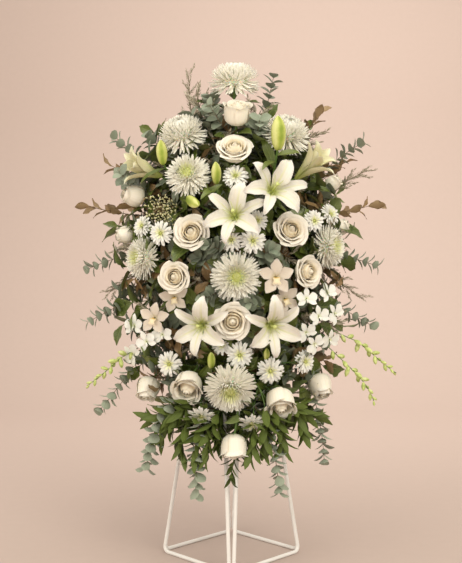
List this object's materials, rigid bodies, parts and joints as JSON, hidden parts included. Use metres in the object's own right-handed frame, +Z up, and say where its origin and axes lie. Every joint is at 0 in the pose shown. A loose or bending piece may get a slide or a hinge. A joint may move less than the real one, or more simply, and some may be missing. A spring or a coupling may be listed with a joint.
{
  "type": "standing funeral spray",
  "caption": "Oval one-sided spray of white blooms and mixed green foliage in a foam column, on an open stand of bent white rod.",
  "frame": {"origin": "on the floor, under the middle of the whole piece's bounding box", "axes": "+Z up; the spray faces -Y, so its right-hand side seen from the front is +X"},
  "size_m": [0.8426, 0.433, 1.2799],
  "materials": {
    "stand_paint": "satin off-white",
    "bowl_plastic": "matt dark green",
    "floral_foam": "soaked green foam",
    "mum_petals": "white petals, yellow-green eye",
    "rose_petals": "ivory petals, peach heart",
    "lily_tepals": "waxy white, green-yellow throat",
    "daisy_rays": "white rays, yellow-green eye",
    "cymbidium_tepals": "blush white, yellow lip",
    "dendrobium_tepals": "white, green throat",
    "eucalyptus_leaf": "dusty grey-green",
    "bronze_leaf": "dry tan brown",
    "wisp_leaf": "downy grey-brown",
    "salal_leaf": "leathery dark green",
    "ruscus_leaf": "smooth mid green"
  },
  "bodies": {
    "root": {"stand_side_1": "stand_paint", "stand_side_2": "stand_paint", "stand_side_3": "stand_paint", "stand_side_4": "stand_paint", "foam_bowl": "bowl_plastic", "foam_block": "floral_foam", "mum_top": "mum_petals", "mum_upper_left": "mum_petals", "mum_upper_right": "mum_petals", "mum_left_centre": "mum_petals", "mum_left": "mum_petals", "mum_right": "mum_petals", "mum_centre": "mum_petals", "mum_low": "mum_petals", "rose_top": "rose_petals", "rose_upper": "rose_petals", "rose_left": "rose_petals", "rose_right": "rose_petals", "rose_left_low": "rose_petals", "rose_right_low": "rose_petals", "rose_centre": "rose_petals", "rose_low_left": "rose_petals", "rose_low_right": "rose_petals", "rose_bottom": "rose_petals", "rose_closed_left": "rose_petals", "rose_closed_right": "rose_petals", "rose_pair_left": "rose_petals", "rose_pair_right": "rose_petals", "lily_centre": "lily_tepals", "lily_upper_right": "lily_tepals", "lily_low_left": "lily_tepals", "lily_low_right": "lily_tepals", "lily_open_left": "lily_tepals", "lily_open_right": "lily_tepals", "daisies_upper": "daisy_rays", "daisies_centre": "daisy_rays", "daisies_left": "daisy_rays", "daisies_right": "daisy_rays", "daisies_low_centre": "daisy_rays", "daisies_low_right": "daisy_rays", "daisies_low_left": "daisy_rays", "cymbidium_right": "cymbidium_tepals", "cymbidium_left": "cymbidium_tepals", "dendrobium_right": "dendrobium_tepals", "dendrobium_left": "dendrobium_tepals", "eucalyptus_left": "eucalyptus_leaf", "eucalyptus_right": "eucalyptus_leaf", "eucalyptus_hanging": "eucalyptus_leaf", "eucalyptus_top": "eucalyptus_leaf", "eucalyptus_front": "eucalyptus_leaf", "bronze_left": "bronze_leaf", "bronze_right": "bronze_leaf", "wisp_left": "wisp_leaf", "wisp_right": "wisp_leaf", "salal_top": "salal_leaf", "salal_left": "salal_leaf", "salal_right": "salal_leaf", "salal_back_upper": "salal_leaf", "salal_back_lower": "salal_leaf", "ruscus_bottom": "ruscus_leaf"}
  },
  "joints": []
}
